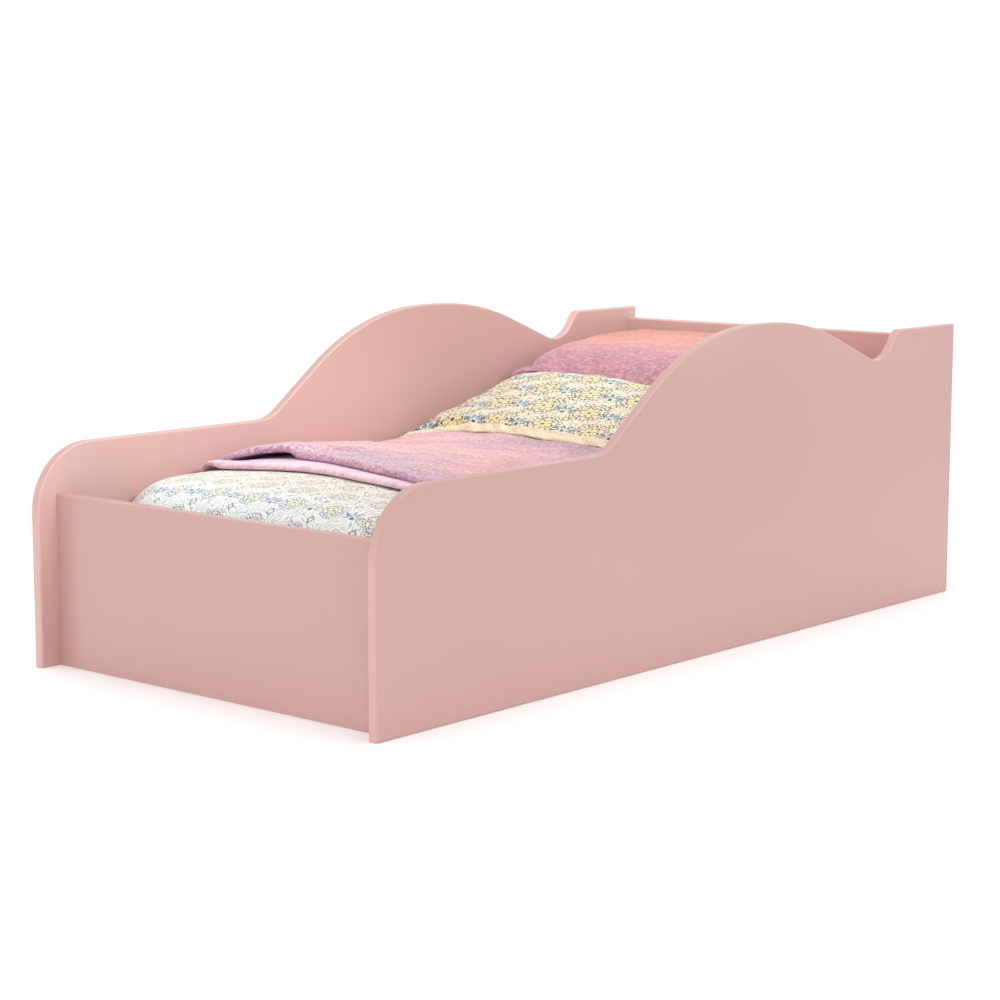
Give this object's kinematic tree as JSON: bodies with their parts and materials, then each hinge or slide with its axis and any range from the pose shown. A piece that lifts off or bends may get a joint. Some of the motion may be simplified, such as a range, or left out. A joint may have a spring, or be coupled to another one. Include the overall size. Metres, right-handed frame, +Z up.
{
  "type": "toddler bed",
  "caption": "Low toddler bed with wavy side panels, a footboard and a headboard round a slatted base, with a mattress in a printed sheet, a folded throw and pillows that lift off",
  "frame": {"origin": "on the floor, in the middle of the bed's length and width", "axes": "+Z is up, +Y points to the headboard, -Y to the footboard and +X to the right side panel"},
  "size_m": [0.742, 1.5, 0.522],
  "materials": {
    "painted_board": "18 mm board with a smooth satin pink lacquer on every face",
    "slat_wood": "planed pine, left raw",
    "screw_steel": "yellowish zinc-plated steel",
    "cam_zinc": "die-cast zinc, dull grey",
    "cap_plastic": "matt plastic in the colour of the board",
    "dowel_wood": "turned beech",
    "foam": "open-cell foam, cream",
    "sheet_print": "cream cotton with a fine ornamental print of sprigs, petals and wavy lines",
    "throw_cloth": "soft cotton that fades from pink to lilac",
    "blush_cloth": "cotton that fades from coral at the top to lilac below",
    "pillow_print": "cream cotton with rows of rosettes and arches, and a dotted pale yellow border"
  },
  "bodies": {
    "bed_frame": {"left_side_panel": "painted_board", "right_side_panel": "painted_board", "footboard": "painted_board", "headboard": "painted_board", "left_slat_batten": "slat_wood", "right_slat_batten": "slat_wood", "slat_01": "slat_wood", "slat_02": "slat_wood", "slat_03": "slat_wood", "slat_04": "slat_wood", "slat_05": "slat_wood", "slat_06": "slat_wood", "slat_07": "slat_wood", "slat_08": "slat_wood", "slat_09": "slat_wood", "slat_10": "slat_wood", "slat_11": "slat_wood", "slat_12": "slat_wood", "slat_screws": "screw_steel", "batten_screws": "screw_steel", "cam_bolts": "screw_steel", "cam_locks": "cam_zinc", "cam_caps": "cap_plastic", "dowels": "dowel_wood"},
    "mattress": {"mattress_core": "foam", "fitted_sheet": "sheet_print"},
    "throw": {"throw_blanket": "throw_cloth"},
    "rear_pillow": {"back_pillow": "blush_cloth"},
    "lead_pillow": {"front_pillow": "pillow_print"}
  },
  "joints": [
    {"name": "mattress_lift", "type": "slide", "parent": "bed_frame", "child": "mattress", "axis": [0, 0, 1], "range_m": [0, 0.4]},
    {"name": "throw_lift", "type": "slide", "parent": "mattress", "child": "throw", "axis": [0, 0, 1], "range_m": [0, 0.25]},
    {"name": "back_pillow_lift", "type": "slide", "parent": "mattress", "child": "rear_pillow", "axis": [0, 0, 1], "range_m": [0, 0.25]},
    {"name": "front_pillow_lift", "type": "slide", "parent": "rear_pillow", "child": "lead_pillow", "axis": [0, 0, 1], "range_m": [0, 0.2]}
  ]
}
